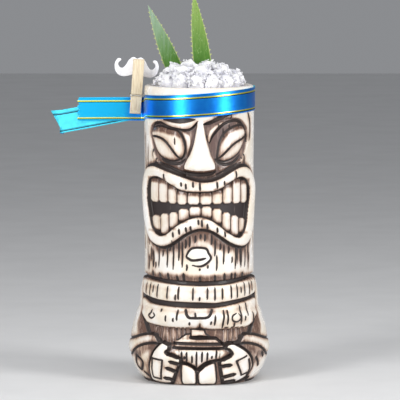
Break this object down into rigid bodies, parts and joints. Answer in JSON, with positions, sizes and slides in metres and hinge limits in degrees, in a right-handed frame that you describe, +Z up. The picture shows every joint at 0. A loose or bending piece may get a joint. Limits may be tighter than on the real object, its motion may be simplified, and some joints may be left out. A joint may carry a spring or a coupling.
{
  "type": "tiki mug",
  "caption": "Carved-look ceramic tiki mug dressed as a served drink: ribbon and small sprung peg round its rim, crushed ice and two spiny leaves in its mouth.",
  "frame": {"origin": "centre of the mug's flat base, on the surface it stands on", "axes": "+Z up along the mug's axis; the carved face looks towards -Y; +X is to the right of a viewer facing the mug"},
  "size_m": [0.1432, 0.0797, 0.2561],
  "materials": {
    "ceramic": "gloss",
    "satin": "satin",
    "peg_wood": "matte",
    "steel": "satin",
    "white_paint": "satin",
    "ice": "gloss",
    "leaf": "satin"
  },
  "bodies": {
    "mug": {"mug_body": "ceramic"},
    "ribbon": {"ribbon": "satin"},
    "clip_back": {"clip_back_half": "peg_wood", "moustache": "white_paint", "clip_spring": "steel"},
    "clip_front": {"clip_front_half": "peg_wood"},
    "ice": {"ice_bed": "ice", "ice_chunk_01": "ice", "ice_chunk_02": "ice", "ice_chunk_03": "ice", "ice_chunk_04": "ice", "ice_chunk_05": "ice", "ice_chunk_06": "ice", "ice_chunk_07": "ice", "ice_chunk_08": "ice", "ice_chunk_09": "ice", "ice_chunk_10": "ice", "ice_chunk_11": "ice", "ice_chunk_12": "ice", "ice_chunk_13": "ice", "ice_chunk_14": "ice", "ice_chunk_15": "ice", "ice_chunk_16": "ice", "ice_chunk_17": "ice", "ice_chunk_18": "ice", "ice_chunk_19": "ice", "ice_chunk_20": "ice", "ice_chunk_21": "ice", "ice_chunk_22": "ice", "ice_chunk_23": "ice", "ice_chunk_24": "ice", "ice_chunk_25": "ice", "ice_chunk_26": "ice", "ice_chunk_27": "ice", "ice_chunk_28": "ice", "ice_chunk_29": "ice", "ice_chunk_30": "ice", "ice_chunk_31": "ice"},
    "leaf_left": {"leaf_left": "leaf"},
    "leaf_right": {"leaf_right": "leaf"}
  },
  "joints": [
    {"name": "ribbon_lift", "type": "slide", "parent": "mug", "child": "ribbon", "axis": [0, 0, 1], "range_m": [0, 0.03]},
    {"name": "clip_pull", "type": "slide", "parent": "ribbon", "child": "clip_back", "axis": [0.0698, 0, 0.9976], "range_m": [0, 0.02]},
    {"name": "clip_squeeze", "type": "hinge", "parent": "clip_back", "child": "clip_front", "pos_m": [-0.0412, 0, 0.1892], "axis": [-0.9976, 0, 0.0698], "range_deg": [0, 9], "stiffness_Nm_per_rad": 0.05, "springref_deg": -22.92, "deforming": ["clip_spring"]},
    {"name": "ice_lift", "type": "slide", "parent": "mug", "child": "ice", "axis": [0, 0, 1], "range_m": [0, 0.003]},
    {"name": "leaf_left_pull", "type": "slide", "parent": "ice", "child": "leaf_left", "axis": [-0.3827, 0, 0.9239], "range_m": [0, 0.03]},
    {"name": "leaf_right_pull", "type": "slide", "parent": "ice", "child": "leaf_right", "axis": [-0.1305, 0, 0.9914], "range_m": [0, 0.03]}
  ]
}
